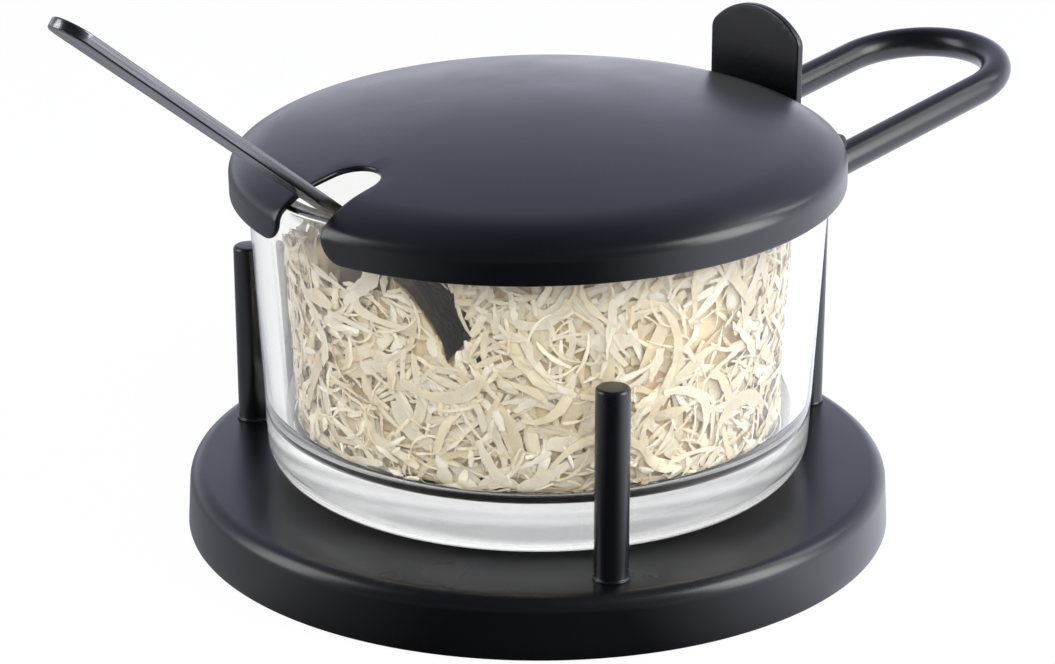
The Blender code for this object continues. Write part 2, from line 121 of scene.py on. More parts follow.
# Glass bowl
RIM_RADIUS = 52.6
GLASS_TOP = 70.1
GLASS_BOTTOM = 11.9
GLASS_FLOOR = 20.9
GLASS_DRAFT = radians(2.8)
GLASS_WALL = 3.2
GLASS_HEEL = 5.5
GLASS_INNER_HEEL = 5.0
PUNT_RADIUS = 41.0
PUNT_DEPTH = 2.0
PUNT_EDGE = 2.0
PUNT_STEPS = 8
RIPPLE_DEPTH = 0.06
RIPPLE_SIZE = (9.0, 9.0, 30.0)
RIPPLE_RADIUS = 40.0
RIPPLE_RISE = 1.0

# Spoon
SPOON_PLACE = (7.337, 0.0, 26.124)
SPOON_TILT = radians(38.3)
SPOON_LENGTH = 138.4
SPOON_SHEET = 2.0
SPOON_EDGE = 0.35
SPOON_BOWL_LENGTH = 31.0
SPOON_BOWL_WIDTH = 22.0
SPOON_BOWL_DEPTH = 5.5
SPOON_RIM_BLEND = 0.004
SPOON_NECK_WIDTH = 4.8
SPOON_NECK_LENGTH = 22.0
SPOON_NECK_DROP = 5.0
SPOON_END_WIDTH = 9.0
SPOON_LIFT = 24.0

# Camera, fitted to the photograph
CAMERA_LENS = 105.78
CAMERA_SENSOR = 36.0
CAMERA_TURN = radians(42.5124)
CAMERA_PITCH = radians(20.5446)
CAMERA_DISTANCE = 581.245
CAMERA_AIM = (-1.9, 32.512)

# Fineness of the meshes
ROUND_STEPS = 192
GLASS_STEPS = 256
BAR_STEPS = 48
ARC_STEPS = 10
LOOP_STEPS = 60
EDGE_STEPS = 4
LID_EDGE_STEPS = 259
SLOT_STEPS = 16
SLOT_ARC_STEPS = 12
LEVER_STEPS = 40
GLASS_LEVELS = 24
SPOON_BOWL_STEPS = 48
SPOON_END_STEPS = 10
SPOON_SHANK_STEP = 1.3
GLASS_RINGS = (0.0, 12.0, 24.0, 34.0)
LID_RINGS = (4.0, 8.0, 13.0, 18.0, 23.0, 28.0, 33.0, 38.0)
SHARP_EDGE = radians(35.0)

# Directions of the camera
AHEAD = Vector((sin(CAMERA_TURN), cos(CAMERA_TURN), 0.0))
RIGHT = Vector((cos(CAMERA_TURN), -sin(CAMERA_TURN), 0.0))
UP = Vector((0.0, 0.0, 1.0))
SIGHT = AHEAD * cos(CAMERA_PITCH) - UP * sin(CAMERA_PITCH)


# Mesh tools


def arc(center, radius, start, end, steps=ARC_STEPS):
    """Points on a circular arc, both ends included; angles in radians."""
    angles = [start + (end - start) * i / steps for i in range(steps + 1)]
    return [(center[0] + radius * cos(a), center[1] + radius * sin(a)) for a in angles]


def place_mm(x, y, z):
    """A placement that moves a piece by millimetres."""
    return Matrix.Translation(Vector((x, y, z)) * MM)


def add_object(name, data):
    made = bpy.data.objects.new(name, data)
    bpy.context.scene.collection.objects.link(made)
    return made


def solid(name, vertices, faces, finish, place=Matrix.Identity(4)):
    """A smooth piece from vertices in millimetres, put where place says."""
    mesh = bpy.data.meshes.new(name)
    mesh.from_pydata([place @ (Vector(v) * MM) for v in vertices], [], faces)
    body = bmesh.new()
    body.from_mesh(mesh)
    bmesh.ops.recalc_face_normals(body, faces=body.faces)
    body.to_mesh(mesh)
    body.free()
    mesh.shade_smooth()
    mesh.materials.append(finish)
    return add_object(name, mesh)


def bands(rings):
    """Faces between rings of vertex numbers that follow one another; a ring of one number is a pole."""
    faces = []
    for low, high in zip(rings, rings[1:]):
        steps = max(len(low), len(high))
        for i in range(steps):
            ahead = (i + 1) % steps
            corners = [low[i % len(low)], low[ahead % len(low)], high[ahead % len(high)], high[i % len(high)]]
            faces.append(list(dict.fromkeys(corners)))
    return [face for face in faces if len(face) > 2]


def lathe(name, profile, steps, finish, place=Matrix.Identity(4)):
    """Turn a profile of (radius, height) points about Z; a point on the axis becomes a pole."""
    vertices = []
    rings = []
    for radius, height in profile:
        count = 1 if radius < 1e-6 else steps
        rings.append(range(len(vertices), len(vertices) + count))
        vertices += [(x, y, height) for x, y in arc((0, 0), radius, 0, 2 * pi, steps)[:count]]
    return solid(name, vertices, bands(rings), finish, place)


def skin(first, rings, steps):
    """Faces over rings of points that follow one another, closed at both ends."""
    numbers = [range(start, start + steps) for start in range(first, first + rings * steps, steps)]
    return bands(numbers) + [list(numbers[0][::-1]), list(numbers[-1])]


def tube(name, path, radii, finish):
    """A round bar along a path, with a radius at each point and closed ends."""
    path = [Vector(p) for p in path]
    side = Vector((0.0, 1.0, 0.0))
    vertices = []
    for i, point in enumerate(path):
        tangent = (path[min(i + 1, len(path) - 1)] - path[max(i - 1, 0)]).normalized()
        side = (side - tangent * side.dot(tangent)).normalized()
        across = tangent.cross(side)
        for k in range(BAR_STEPS):
            turn = 2 * pi * k / BAR_STEPS
            vertices.append(point + (side * cos(turn) + across * sin(turn)) * radii[i])
    return solid(name, vertices, skin(0, len(path), BAR_STEPS), finish)


def outward(loop):
    """Unit normals of a flat closed loop that runs anticlockwise."""
    along = np.roll(loop, -1, axis=0) - np.roll(loop, 1, axis=0)
    along /= np.linalg.norm(along, axis=1)[:, None]
    return np.stack((along[:, 1], -along[:, 0]), axis=1)


def well_inside(points, loop, room):
    """Which points lie inside a flat closed loop, at least room away from it."""
    start = loop[None, :, :]
    end = np.roll(loop, -1, axis=0)[None, :, :]
    point = points[:, None, :]
    side = end - start
    share = ((point - start) * side).sum(2) / (side**2).sum(2)
    nearest = start + side * np.clip(share, 0.0, 1.0)[:, :, None]
    distance = np.sqrt(((point - nearest) ** 2).sum(2)).min(1)
    straddles = (start[:, :, 1] > point[:, :, 1]) != (end[:, :, 1] > point[:, :, 1])
    rise = np.where(straddles, side[:, :, 1], 1.0)
    crossing = start[:, :, 0] + side[:, :, 0] * (point[:, :, 1] - start[:, :, 1]) / rise
    hits = (straddles & (point[:, :, 0] < crossing)).sum(1)
    return (hits % 2 == 1) & (distance > room)


def pressed_sheet(name, loop, grid, room, bend, thickness, edge, finish, place=Matrix.Identity(4)):
    """A sheet with rounded edges, pressed from a flat pattern: its outline and the points inside it.

    bend(u, v) gives the outer face of the pressed sheet and its normal.
    """
    loop = np.array(loop)
    normals = outward(loop)
    inset = loop - normals * edge
    grid = np.array(grid)
    pattern = np.concatenate((inset, grid[well_inside(grid, inset, room)]))
    count = len(loop)
    flat = [Vector(p) for p in pattern]
    triangles = delaunay_2d_cdt(flat, [], [list(range(count))], 1, 1e-6)[2]

    def at(point, depth):
        face, normal = bend(float(point[0]), float(point[1]))
        return face - normal * depth

    quarter = [pi / 2 * i / EDGE_STEPS for i in range(EDGE_STEPS + 1)]
    rim = [(edge * (1 - sin(a)), edge * (1 - cos(a))) for a in quarter]
    rim += [(shift, thickness - depth) for shift, depth in reversed(rim)]
    vertices = [at(p, 0.0) for p in pattern] + [at(p, thickness) for p in pattern]
    under = len(pattern)
    rings = [range(count)]
    for shift, depth in rim[1:-1]:
        rings.append(range(len(vertices), len(vertices) + count))
        vertices += [at(p, depth) for p in loop - normals * shift]
    rings.append(range(under, under + count))
    faces = [list(t) for t in triangles] + [[under + i for i in reversed(t)] for t in triangles]
    return solid(name, vertices, faces + bands(rings), finish, place)


def solve(function, target, low, high):
    """Where a rising or falling function reaches a target between two ends."""
    rising = function(high) > function(low)
    for _ in range(50):
        middle = (low + high) / 2
        if (function(middle) < target) == rising:
            low = middle
        else:
            high = middle
    return (low + high) / 2


# Material tools


def add_node(tree, kind, values=None, **settings):
    """A shader node; a value that is a socket is linked, any other is set."""
    made = tree.nodes.new(kind)
    for name, value in settings.items():
        setattr(made, name, value)
    for socket, value in (values or {}).items():
        if isinstance(value, bpy.types.NodeSocket):
            tree.links.new(value, made.inputs[socket])
        else:
            made.inputs[socket].default_value = value
    return made


def new_material(name, **values):
    """A node material and its main shader, with the shader's own sockets set."""
    made = bpy.data.materials.new(name)
    made.use_nodes = True
    shader = made.node_tree.nodes["Principled BSDF"]
    for socket, value in values.items():
        shader.inputs[socket.replace("_", " ")].default_value = value
    return made, made.node_tree, shader


def object_place(tree, stretch=(1.0, 1.0, 1.0), turn=0.0):
    """Coordinates of the object itself, turned about Y and stretched along the turned axes."""
    place = add_node(tree, "ShaderNodeTexCoord").outputs["Object"]
    values = {"Vector": place, "Rotation": (0.0, turn, 0.0), "Scale": [1.0 / s for s in stretch]}
    return add_node(tree, "ShaderNodeMapping", values, vector_type="TEXTURE").outputs["Vector"]


def speckle(tree, place, scale, detail=2.0, roughness=0.5):
    """A noise value over a place."""
    values = {"Vector": place, "Scale": scale, "Detail": detail, "Roughness": roughness}
    return add_node(tree, "ShaderNodeTexNoise", values).outputs["Fac"]


def spread(tree, value, low, high, start=0.3, end=0.7):
    """Turn a noise value into a range of numbers."""
    values = {"Value": value, "From Min": start, "From Max": end, "To Min": low, "To Max": high}
    return add_node(tree, "ShaderNodeMapRange", values).outputs["Result"]


def tint(tree, value, *stops):
    """Turn a value into colours; each stop is a position and a colour."""
    made = add_node(tree, "ShaderNodeValToRGB", {"Fac": value})
    ramp = made.color_ramp
    while len(ramp.elements) < len(stops):
        ramp.elements.new(0.5)
    for element, (position, colour) in zip(ramp.elements, stops):
        element.position = position
        element.color = (*colour, 1.0)
    return made.outputs["Color"]


def link_looks(tree, shader, colour, roughness):
    tree.links.new(colour, shader.inputs["Base Color"])
    tree.links.new(roughness, shader.inputs["Roughness"])


def relief(tree, shader, height, strength, distance):
    """Let a height give the shader its fine relief; the distance is in millimetres."""
    values = {"Height": height, "Strength": strength, "Distance": distance * MM}
    bump = add_node(tree, "ShaderNodeBump", values)
    tree.links.new(bump.outputs["Normal"], shader.inputs["Normal"])


def blend_heights(tree, first, second, share):
    """Add a share of a second height to a first one."""
    values = {0: second, 1: share, 2: first}
    return add_node(tree, "ShaderNodeMath", values, operation="MULTIPLY_ADD").outputs["Value"]


def join(tree, first, second, operation):
    return add_node(tree, "ShaderNodeMath", {0: first, 1: second}, operation=operation).outputs["Value"]


def reach_along(tree, place, way):
    values = {0: place, 1: way}
    return add_node(tree, "ShaderNodeVectorMath", values, operation="DOT_PRODUCT").outputs["Value"]


def mix_shaders(tree, share, first, second):
    """Show a share of a second shader in place of a first one."""
    mixed = add_node(tree, "ShaderNodeMixShader", {"Fac": share, 1: first, 2: second})
    tree.links.new(mixed.outputs["Shader"], tree.nodes["Material Output"].inputs["Surface"])


# Materials


def black_coat():
    """Satin powder coat: fine orange peel and a slightly cloudy sheen."""
    made, tree, shader = new_material("black_coat", Specular_IOR_Level=0.75)
    place = object_place(tree)
    cloud = speckle(tree, place, 60.0)
    peel = speckle(tree, place, 1500.0)
    grain = speckle(tree, place, 5200.0, 1.0)
    colour = tint(tree, grain, (0.3, (0.0014, 0.0016, 0.0024)), (0.7, (0.0034, 0.0038, 0.0056)))
    link_looks(tree, shader, colour, spread(tree, cloud, 0.27, 0.33))
    relief(tree, shader, blend_heights(tree, peel, grain, 0.5), 0.3, 0.025)
    return made


def clear_glass():
    """Pressed glass with a breath of green and a dulled underside; lamps shine through it."""
    made, tree, shader = new_material("clear_glass", Base_Color=(0.985, 0.995, 0.992, 1.0), IOR=1.5,
                                      Transmission_Weight=1.0)
    place = object_place(tree, (1.0, 1.0, 0.35))
    level = add_node(tree, "ShaderNodeSeparateXYZ", {"Vector": object_place(tree)}).outputs["Z"]
    hollow = GLASS_BOTTOM + PUNT_DEPTH
    fade = 0.4
    dull = spread(tree, level, 0.16, 0.0, hollow * MM, (hollow + fade) * MM)
    smear = spread(tree, speckle(tree, place, 300.0), 0.0, 0.02)
    tree.links.new(join(tree, smear, dull, "ADD"), shader.inputs["Roughness"])
    relief(tree, shader, speckle(tree, place, 130.0), 0.05, 0.2)
    lamps = add_node(tree, "ShaderNodeLightPath").outputs["Is Shadow Ray"]
    clear = add_node(tree, "ShaderNodeBsdfTransparent", {"Color": (0.95, 0.97, 0.965, 1.0)})
    mix_shaders(tree, lamps, shader.outputs["BSDF"], clear.outputs["BSDF"])
    return made


def dark_steel():
    """Dark steel, brushed along the spoon."""
    made, tree, shader = new_material("dark_steel", Metallic=1.0)
    streaks = speckle(tree, object_place(tree, (14.0, 900.0, 900.0), SPOON_TILT), 2.0, 4.0, 0.6)
    cloud = speckle(tree, object_place(tree, (40.0, 120.0, 120.0), SPOON_TILT), 1.0)
    colour = tint(tree, streaks, (0.3, (0.13, 0.13, 0.135)), (0.7, (0.34, 0.34, 0.35)))
    link_looks(tree, shader, colour, spread(tree, cloud, 0.20, 0.30))
    relief(tree, shader, streaks, 0.25, 0.02)
    return made


def grained(name, cloud, dark, pale, grain, roughness, strength, distance, **values):
    """A finish whose colour follows a cloud, and its roughness and relief a grain."""
    made, tree, shader = new_material(name, **values)
    place = object_place(tree)
    colour = tint(tree, speckle(tree, place, *cloud), (0.3, dark), (0.7, pale))
    height = speckle(tree, place, *grain)
    link_looks(tree, shader, colour, spread(tree, height, *roughness))
    relief(tree, shader, height, strength, distance)
    return made


def zinc_steel():
    """Zinc plating with its slightly mottled shine."""
    return grained("zinc_steel", cloud=(900.0, 3.0), dark=(0.45, 0.46, 0.48), pale=(0.62, 0.63, 0.65),
                   grain=(900.0, 3.0), roughness=(0.28, 0.42), strength=0.15, distance=0.02, Metallic=1.0)


def black_plastic():
    """Moulded plastic with an eroded grain."""
    return grained("black_plastic", cloud=(40.0,), dark=(0.016, 0.016, 0.017), pale=(0.024, 0.024, 0.025),
                   grain=(1800.0, 3.0), roughness=(0.5, 0.65), strength=0.3, distance=0.05)


def pad_rubber():
    """Dull rubber with a fine dusty bloom."""
    return grained("pad_rubber", cloud=(70.0, 4.0), dark=(0.022, 0.022, 0.022), pale=(0.042, 0.042, 0.041),
                   grain=(2600.0,), roughness=(0.78, 0.92), strength=0.3, distance=0.05,
                   Specular_IOR_Level=0.3)


def cheese():
    """Grated hard cheese: moist, translucent shreds, each with its own tone between cream and straw; the
    lumps behind them take the darker straw end as painted shade.
    """
    made, tree, shader = new_material("cheese", Specular_IOR_Level=0.25, Subsurface_Weight=0.35,
                                      Subsurface_Radius=(1.0, 0.88, 0.72), Subsurface_Scale=1.0 * MM)
    tone_and_shade = add_node(tree, "ShaderNodeAttribute", attribute_name="tone_and_shade").outputs["Fac"]
    crumb = speckle(tree, object_place(tree), 420.0, 5.0, 0.65)
    mixed = blend_heights(tree, tone_and_shade, crumb, 0.35)
    # The straw end colours the lumps as painted shade deep in the heap; the shreds spread over the paler end.
    colour = tint(tree, mixed, (0.1, (0.67, 0.51, 0.30)), (0.5, (0.80, 0.65, 0.42)),
                  (0.8, (0.90, 0.76, 0.54)), (1.0, (0.95, 0.85, 0.68)))
    link_looks(tree, shader, colour, spread(tree, crumb, 0.35, 0.55))
    relief(tree, shader, crumb, 0.45, 0.35)
    return made


# Stand


def stand_pan(finish):
    """Pressed pan with a rounded shoulder and a rounded hem at the foot of its skirt."""
    top = BASE_RADIUS - BASE_FLARE
    corner = (top - BASE_SHOULDER, BASE_TOP - BASE_SHOULDER)
    hem = BASE_BOTTOM + BASE_HEM
    profile = [(ring, BASE_TOP) for ring in BASE_RINGS]
    profile += arc(corner, BASE_SHOULDER, pi / 2, 0)
    for share in (0.25, 0.5, 0.75):
        profile.append((top + BASE_FLARE * share, corner[1] + (hem - corner[1]) * share))
    profile += arc((BASE_RADIUS - BASE_HEM, hem), BASE_HEM, 0, -pi / 2, EDGE_STEPS)
    profile += arc((BASE_RADIUS - BASE_SHEET + BASE_HEM, hem), BASE_HEM, -pi / 2, -pi, EDGE_STEPS)
    profile += arc(corner, BASE_SHOULDER - BASE_SHEET, 0, pi / 2)
    profile += [(BASE_RINGS[2], BASE_TOP - BASE_SHEET), (0, BASE_TOP - BASE_SHEET)]
    made = lathe("stand_pan", profile, ROUND_STEPS, finish)
    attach(made, "stand")
    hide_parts("base_shell")


def cover_disc(finish):
    """Moulded cover with rounded edges, the rib that carries the pan and a ring groove around the pad."""
    rib_inner, rib_outer, rib_top = COVER_RIB
    inner_lip = COVER_RADIUS - COVER_LIP_WIDTH
    edge = COVER_EDGE
    profile = [(0, COVER_FLOOR), (rib_inner, COVER_FLOOR), (rib_inner, rib_top), (rib_outer, rib_top),
               (rib_outer, COVER_FLOOR), (inner_lip, COVER_FLOOR)]
    profile += arc((inner_lip + edge, COVER_LIP_TOP - edge), edge, pi, pi / 2, EDGE_STEPS)
    profile += arc((COVER_RADIUS - edge, COVER_LIP_TOP - edge), edge, pi / 2, 0, EDGE_STEPS)
    profile += arc((COVER_RADIUS - edge, COVER_BOTTOM + edge), edge, 0, -pi / 2, EDGE_STEPS)
    mouth, floor, depth = COVER_GROOVE
    for out, rise in ((mouth, 0), (floor, depth), (-floor, depth), (-mouth, 0), (-PAD_RADIUS, 0)):
        profile.append((PAD_RADIUS + out, COVER_BOTTOM + rise))
    made = lathe("cover_disc", profile, ROUND_STEPS, finish)
    made.data.set_sharp_from_angle(angle=SHARP_EDGE)
    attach(made, "stand")
    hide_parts("bottom_cover")


def grip_pad(finish):
    """Rubber pad with ring grooves in its underside."""
    profile = [(0, PAD_TOP), (PAD_RADIUS - PAD_EDGE, PAD_TOP)]
    profile += arc((PAD_RADIUS - PAD_EDGE, PAD_TOP - PAD_EDGE), PAD_EDGE, pi / 2, 0, EDGE_STEPS)
    profile += arc((PAD_RADIUS - PAD_EDGE, PAD_EDGE), PAD_EDGE, 0, -pi / 2, EDGE_STEPS)
    slope = PAD_GROOVE_WIDTH / 4
    groove = PAD_RADIUS - PAD_GROOVE_PITCH
    while groove > 2 * PAD_GROOVE_PITCH:
        outer, inner = groove + PAD_GROOVE_WIDTH / 2, groove - PAD_GROOVE_WIDTH / 2
        profile += [(outer, 0), (outer - slope, PAD_GROOVE_DEPTH)]
        profile += [(inner + slope, PAD_GROOVE_DEPTH), (inner, 0)]
        groove -= PAD_GROOVE_PITCH
    profile.append((0, 0))
    made = lathe("grip_pad", profile, ROUND_STEPS, finish)
    made.data.set_sharp_from_angle(angle=SHARP_EDGE)
    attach(made, "stand")
    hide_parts("anti_slip_pad")


def posts(finish):
    """Two short posts with softened tops and a small bead where they meet the pan."""
    profile = [(0, POST_TOP)]
    profile += arc((BAR_RADIUS - POST_EDGE, POST_TOP - POST_EDGE), POST_EDGE, pi / 2, 0, 6)
    profile += [(BAR_RADIUS, FOOT_LEVEL + rise) for rise in POST_RINGS]
    profile += arc((BAR_RADIUS + BEAD, BASE_TOP + BEAD_HEIGHT), BEAD, pi, 3 * pi / 2, EDGE_STEPS)
    profile += [(BAR_RADIUS + BEAD, BASE_TOP), (0, BASE_TOP)]
    for side, (x, y) in POST_PLACES.items():
        made = lathe(f"post_bar_{side}", profile, BAR_STEPS, finish, place_mm(x, y, 0))
        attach(made, "stand")
        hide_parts(f"post_{side}")


def handle_wire(finish):
    """One bent bar: up a leg, out along the loop and down the other leg, with a bead at each foot."""
    bend = arc((LEG_X + BEND_RADIUS, BEND_LEVEL), BEND_RADIUS, pi, pi / 2 + HANDLE_RISE, 24)
    levels = [BASE_TOP, BASE_TOP + BEAD_HEIGHT / 2, BASE_TOP + BEAD_HEIGHT]
    levels += [FOOT_LEVEL + rise for rise in LEG_RINGS]
    leg = [(LEG_X, -LEG_Y, z) for z in levels] + [(x, -LEG_Y, z) for x, z in bend]
    start_x, start_z = bend[-1]
    loop = []
    for out, y in arc((LOOP_X, 0), LEG_Y, -pi / 2, pi / 2, LOOP_STEPS):
        loop.append((out, y, start_z + (out - start_x) * tan(HANDLE_RISE)))
    straight = [Vector(leg[-1]).lerp(Vector(loop[0]), share) for share in (0.2, 0.4, 0.6, 0.8)]
    first = leg + [tuple(p) for p in straight]
    path = first + loop + [(x, -y, z) for x, y, z in reversed(first)]
    radii = [BAR_RADIUS] * len(path)
    for i, extra in enumerate((BEAD, BEAD / 2, 0.0)):
        radii[i] += extra
        radii[-1 - i] += extra
    made = tube("handle_wire", path, radii, finish)
    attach(made, "stand")
    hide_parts("handle_frame")


def pin_bar(finish):
    """Cross pin of the hinge with softened ends."""
    profile = [(0, PIN_HALF)]
    profile += arc((PIN_RADIUS - PIN_EDGE, PIN_HALF - PIN_EDGE), PIN_EDGE, pi / 2, 0, EDGE_STEPS)
    profile += arc((PIN_RADIUS - PIN_EDGE, PIN_EDGE - PIN_HALF), PIN_EDGE, 0, -pi / 2, EDGE_STEPS)
    profile.append((0, -PIN_HALF))
    place = place_mm(*HINGE) @ Matrix.Rotation(pi / 2, 4, "X")
    made = lathe("pin_bar", profile, BAR_STEPS, finish, place)
    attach(made, "stand")
    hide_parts("hinge_pin")


def fasteners(finish):
    """The screws and washers inside the stand keep their solids."""
    for name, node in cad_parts.items():
        if "screw" in name or "washer" in name:
            for slot in node.material_slots:
                slot.material = finish


# Lid and thumb lever


def lid_bends():
    """The arcs of the lid's outer section from the axis outwards: centre, radius, start and end angle."""
    shoulder = (LID_RADIUS - LID_SHOULDER, LID_SKIRT)
    gap = LID_KNUCKLE - LID_SHOULDER
    knuckle = (shoulder[0] - gap * cos(LID_SHOULDER_END), shoulder[1] - gap * sin(LID_SHOULDER_END))
    crown = (0.0, knuckle[1] - knuckle[0] * tan(LID_KNUCKLE_END))
    crown_radius = LID_KNUCKLE + knuckle[0] / cos(LID_KNUCKLE_END)
    return [(crown, crown_radius, pi / 2, LID_KNUCKLE_END),
            (knuckle, LID_KNUCKLE, LID_KNUCKLE_END, LID_SHOULDER_END),
            (shoulder, LID_SHOULDER, LID_SHOULDER_END, 0.0)]


LID_BENDS = lid_bends()
LID_CURVED = sum(radius * (start - end) for _, radius, start, end in LID_BENDS)
LID_SPAN = LID_CURVED + LID_SKIRT


def lid_section(distance):
    """Radius, height and normal of the lid's outside at a distance from its middle, along the sheet."""
    for center, radius, start, end in LID_BENDS:
        length = radius * (start - end)
        if distance <= length:
            turn = start - distance / radius
            normal = (cos(turn), sin(turn))
            return center[0] + radius * normal[0], center[1] + radius * normal[1], normal
        distance -= length
    return LID_RADIUS, LID_SKIRT - distance, (1.0, 0.0)


def lid_bend(u, v):
    """Outer face of the lid at a point of its flat pattern."""
    distance = hypot(u, v)
    radius, height, (outer, upper) = lid_section(distance)
    x, y = (u / distance, v / distance) if distance > 0 else (1.0, 0.0)
    return Vector((radius * x, radius * y, height)), Vector((outer * x, outer * y, upper))


def skirt_distance(level):
    """Where the lid's outside comes down to a level near its edge, as a distance along the sheet."""
    return solve(lambda s: lid_section(s)[1], level, LID_CURVED - LID_SHOULDER, LID_SPAN)


def lid_pattern(distance, y):
    """Flat pattern of a point on the slot's side of the lid, by its distance and its place across."""
    radius = lid_section(distance)[0]
    turn = pi - asin(y / radius)
    return distance * cos(turn), distance * sin(turn)


def slot_half(x):
    """Half width of the slot's straight sides."""
    taper = atan2(SLOT_MOUTH_HALF - SLOT_TIP_RADIUS, SLOT_TIP_X - SLOT_MOUTH_X)
    return SLOT_TIP_RADIUS / cos(taper) + (SLOT_TIP_X - x) * tan(taper)


def slot_side():
    """One side of the slot in the flat pattern, from the lid's lower edge to the slot's end."""
    half = slot_half(-LID_RADIUS)
    side = []
    for y, z in arc((half + SLOT_CORNER, SLOT_CORNER), SLOT_CORNER, -pi / 2, -pi, SLOT_ARC_STEPS):
        side.append(lid_pattern(skirt_distance(z), y))
    start = lid_section(skirt_distance(SLOT_CORNER))[0]
    first_x = -sqrt(start**2 - half**2)
    plan = []
    for i in range(1, SLOT_STEPS + 1):
        x = first_x + (SLOT_TIP_X - first_x) * i / SLOT_STEPS
        plan.append((x, slot_half(x)))
    plan += arc((SLOT_TIP_X, 0.0), SLOT_TIP_RADIUS, pi / 2, 0.0, SLOT_ARC_STEPS)[1:]
    for x, y in plan:
        distance = solve(lambda s: lid_section(s)[0], hypot(x, y), 0.0, LID_CURVED)
        side.append(lid_pattern(distance, y))
    return side


def lid_grid():
    """Rings of points over the lid, close together where it is bent."""
    distances = list(LID_RINGS)
    crown, knuckle, shoulder = [radius * (start - end) for _, radius, start, end in LID_BENDS]
    distances += [crown - 3.0, crown]
    distances += [crown + knuckle * i / 8 for i in range(1, 9)]
    distances += [crown + knuckle + shoulder * i / 10 for i in range(1, 11)]
    distances += [LID_CURVED + LID_SKIRT * i / 4 for i in range(1, 4)]
    grid = [(0.0, 0.0)]
    for distance in distances:
        count = ROUND_STEPS if distance > 30.0 else max(12, int(distance * 4))
        grid += arc((0, 0), distance, 0, 2 * pi, count)[:-1]
    return grid


def lid_pressing(finish):
    """Pressed lid with the slot for the spoon, open at its lower edge."""
    side = slot_side()
    opening = atan2(side[0][1], side[0][0])
    mirrored = [(x, -y) for x, y in reversed(side)]
    loop = arc((0, 0), LID_SPAN, -opening, opening, LID_EDGE_STEPS) + side[1:] + mirrored[1:-1]
    place = place_mm(0, 0, LID_LEVEL) @ Matrix.Rotation(-LID_TILT, 4, "Y")
    made = pressed_sheet("lid_pressing", loop, lid_grid(), 0.25, lid_bend, LID_SHEET, LID_EDGE, finish, place)
    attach(made, "lid")
    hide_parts("lid_shell")


def lever_bend(u, v):
    """Outer face of the thumb lever: an upright plate that rolls into an eye below the hinge."""
    if v >= 0:
        return Vector((-LEVER_OUTER, -u, v)), Vector((-1.0, 0.0, 0.0))
    turn = pi - v / (LEVER_OUTER - LEVER_SHEET / 2)
    normal = Vector((cos(turn), 0.0, sin(turn)))
    return normal * LEVER_OUTER - Vector((0.0, u, 0.0)), normal


def thumb_tab(finish):
    """Thumb lever with a crowned top and softened edges."""
    end = -LEVER_WRAP * (LEVER_OUTER - LEVER_SHEET / 2)
    corner_y = LEVER_HALF - LEVER_CORNER
    crown = LEVER_TOP - LEVER_CROWN
    corner_z = crown + sqrt((LEVER_CROWN - LEVER_CORNER) ** 2 - corner_y**2)
    lean = atan2(corner_z - crown, corner_y)
    low = end + LEVER_END_CORNER
    side = LEVER_HALF - LEVER_END_CORNER
    right = arc((side, low), LEVER_END_CORNER, -pi / 2, 0, 6)
    right += [(LEVER_HALF, low + (corner_z - low) * i / LEVER_STEPS) for i in range(1, LEVER_STEPS)]
    right += arc((corner_y, corner_z), LEVER_CORNER, 0, lean, 8)
    loop = right + arc((0, crown), LEVER_CROWN, lean, pi - lean, 36)[1:-1]
    loop += [(-u, v) for u, v in reversed(right)]
    loop += [(side * share, end) for share in np.linspace(-1, 1, 24)[1:-1]]
    grid = [(u, v) for v in np.arange(end, 0, 0.45) for u in np.arange(-11.0, 11.1, 1.0)]
    grid += [(u, v) for v in np.arange(0, LEVER_TOP, 1.2) for u in np.arange(-11.0, 11.1, 1.1)]
    made = pressed_sheet("thumb_tab", loop, grid, 0.3, lever_bend, LEVER_SHEET, LEVER_EDGE, finish,
                         place_mm(*HINGE))
    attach(made, "lid")
    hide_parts("thumb_lever")


# Bowl and spoon


def wall_radius(level):
    """Outer radius of the drafted glass wall."""
    return RIM_RADIUS - (GLASS_TOP - level) * tan(GLASS_DRAFT)


def inner_radius(level):
    """Inside of the bowl, rounded where the wall meets the floor."""
    heel = GLASS_FLOOR + GLASS_INNER_HEEL
    if level >= heel:
        return wall_radius(level) - GLASS_WALL
    drop = min(heel - level, GLASS_INNER_HEEL)
    center = wall_radius(heel) - GLASS_WALL - GLASS_INNER_HEEL
    return center + sqrt(GLASS_INNER_HEEL**2 - drop**2)


